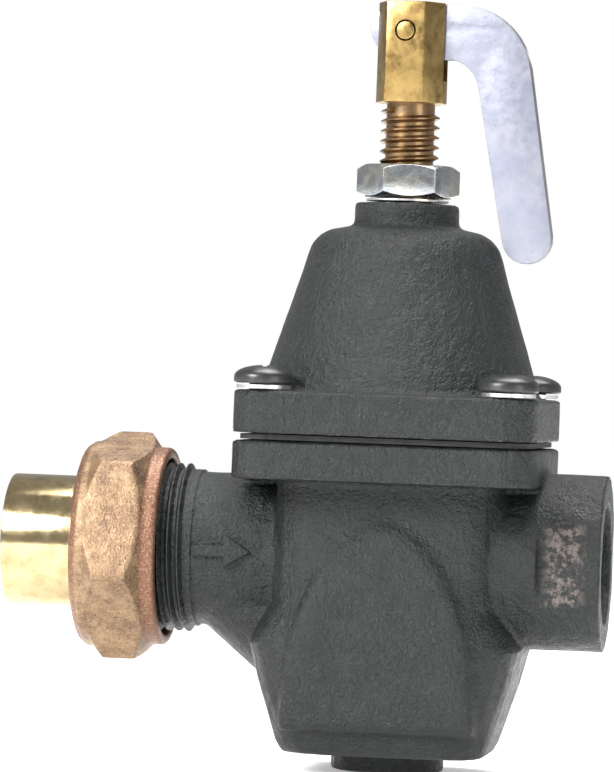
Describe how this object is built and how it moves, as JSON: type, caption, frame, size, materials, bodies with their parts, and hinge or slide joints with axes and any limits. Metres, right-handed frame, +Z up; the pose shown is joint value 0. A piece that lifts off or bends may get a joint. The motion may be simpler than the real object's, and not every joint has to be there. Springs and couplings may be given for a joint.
{
  "type": "pressure reducing valve",
  "caption": "Water pressure reducing valve with a bell bonnet, adjusting screw and lift lever, a soldered union inlet and a threaded outlet.",
  "frame": {"origin": "where the pipe run's axis crosses the adjusting screw's axis, inside the body", "axes": "+X is the flow direction, from the union inlet to the threaded outlet; +Z is up the adjusting screw"},
  "size_m": [0.0962, 0.048, 0.1227],
  "materials": {
    "black_iron": "black painted casting, satin",
    "cast_bronze": "as-cast bronze, sandy",
    "brass": "machined, bright",
    "zinc_plate": "bright zinc plate",
    "steel": "plain spring and stainless steel",
    "black_steel": "black oxide",
    "rubber": "matt",
    "fibre": "red fibre"
  },
  "bodies": {
    "housing": {"valve_body": "black_iron", "bonnet": "black_iron", "diaphragm": "rubber", "bonnet_screw_1": "black_steel", "bonnet_screw_2": "black_steel", "bonnet_screw_3": "black_steel", "bonnet_screw_4": "black_steel", "lock_washer_1": "zinc_plate", "lock_washer_2": "zinc_plate", "lock_washer_3": "zinc_plate", "lock_washer_4": "zinc_plate", "seat_ring": "brass", "strainer_screen": "steel", "bottom_plug": "black_iron", "plug_seal": "rubber", "range_spring": "steel", "poppet_spring": "steel"},
    "spring_seat": {"spring_button": "steel"},
    "screw": {"adjusting_screw": "brass", "lever_pin": "brass"},
    "lever": {"fill_lever": "zinc_plate"},
    "poppet": {"push_rod": "steel", "valve_stem": "steel", "pressure_plate": "steel", "stem_nut": "brass", "lower_plate": "brass", "poppet_disc": "rubber", "disc_holder": "brass", "holder_nut": "brass"},
    "lock_washer": {"jam_washer": "zinc_plate"},
    "lock_nut": {"jam_nut": "zinc_plate"},
    "tail": {"tailpiece": "brass", "union_gasket": "fibre"},
    "coupling_nut": {"union_nut": "cast_bronze"}
  },
  "joints": [
    {"name": "adjust_travel", "type": "slide", "parent": "housing", "child": "spring_seat", "axis": [0, 0, 1], "range_m": [-0.00015, 0.00476], "deforming": ["range_spring"]},
    {"name": "adjust_turn", "type": "hinge", "parent": "spring_seat", "child": "screw", "pos_m": [0, 0, 0], "axis": [0, 0, 1], "range_deg": [-34.1, 1080]},
    {"name": "lever_lift", "type": "hinge", "parent": "screw", "child": "lever", "pos_m": [0, 0, 0.0837], "axis": [-0.1323, -0.9912, 0], "range_deg": [0, 90]},
    {"name": "poppet_travel", "type": "slide", "parent": "housing", "child": "poppet", "axis": [0, 0, 1], "range_m": [-0.0024, 0], "deforming": ["poppet_spring", "diaphragm"]},
    {"name": "lock_washer_travel", "type": "slide", "parent": "housing", "child": "lock_washer", "axis": [0, 0, 1], "range_m": [0, 0.00476]},
    {"name": "lock_nut_turn", "type": "hinge", "parent": "lock_washer", "child": "lock_nut", "pos_m": [0, 0, 0], "axis": [0, 0, 1], "range_deg": [0, 1080]},
    {"name": "union_travel", "type": "slide", "parent": "housing", "child": "tail", "axis": [-1, 0, 0], "range_m": [0, 0.0095]},
    {"name": "union_nut_turn", "type": "hinge", "parent": "tail", "child": "coupling_nut", "pos_m": [0, 0, 0], "axis": [-1, 0, 0], "range_deg": [0, 2160]}
  ],
  "couplings": [
    {"joint": "adjust_turn", "follows": "adjust_travel", "rad_per_m": 3957.9},
    {"joint": "lever_lift", "follows": "poppet_travel", "rad_per_m": -654.5},
    {"joint": "lock_nut_turn", "follows": "lock_washer_travel", "rad_per_m": 3957.9},
    {"joint": "union_nut_turn", "follows": "union_travel", "rad_per_m": 3957.9}
  ]
}
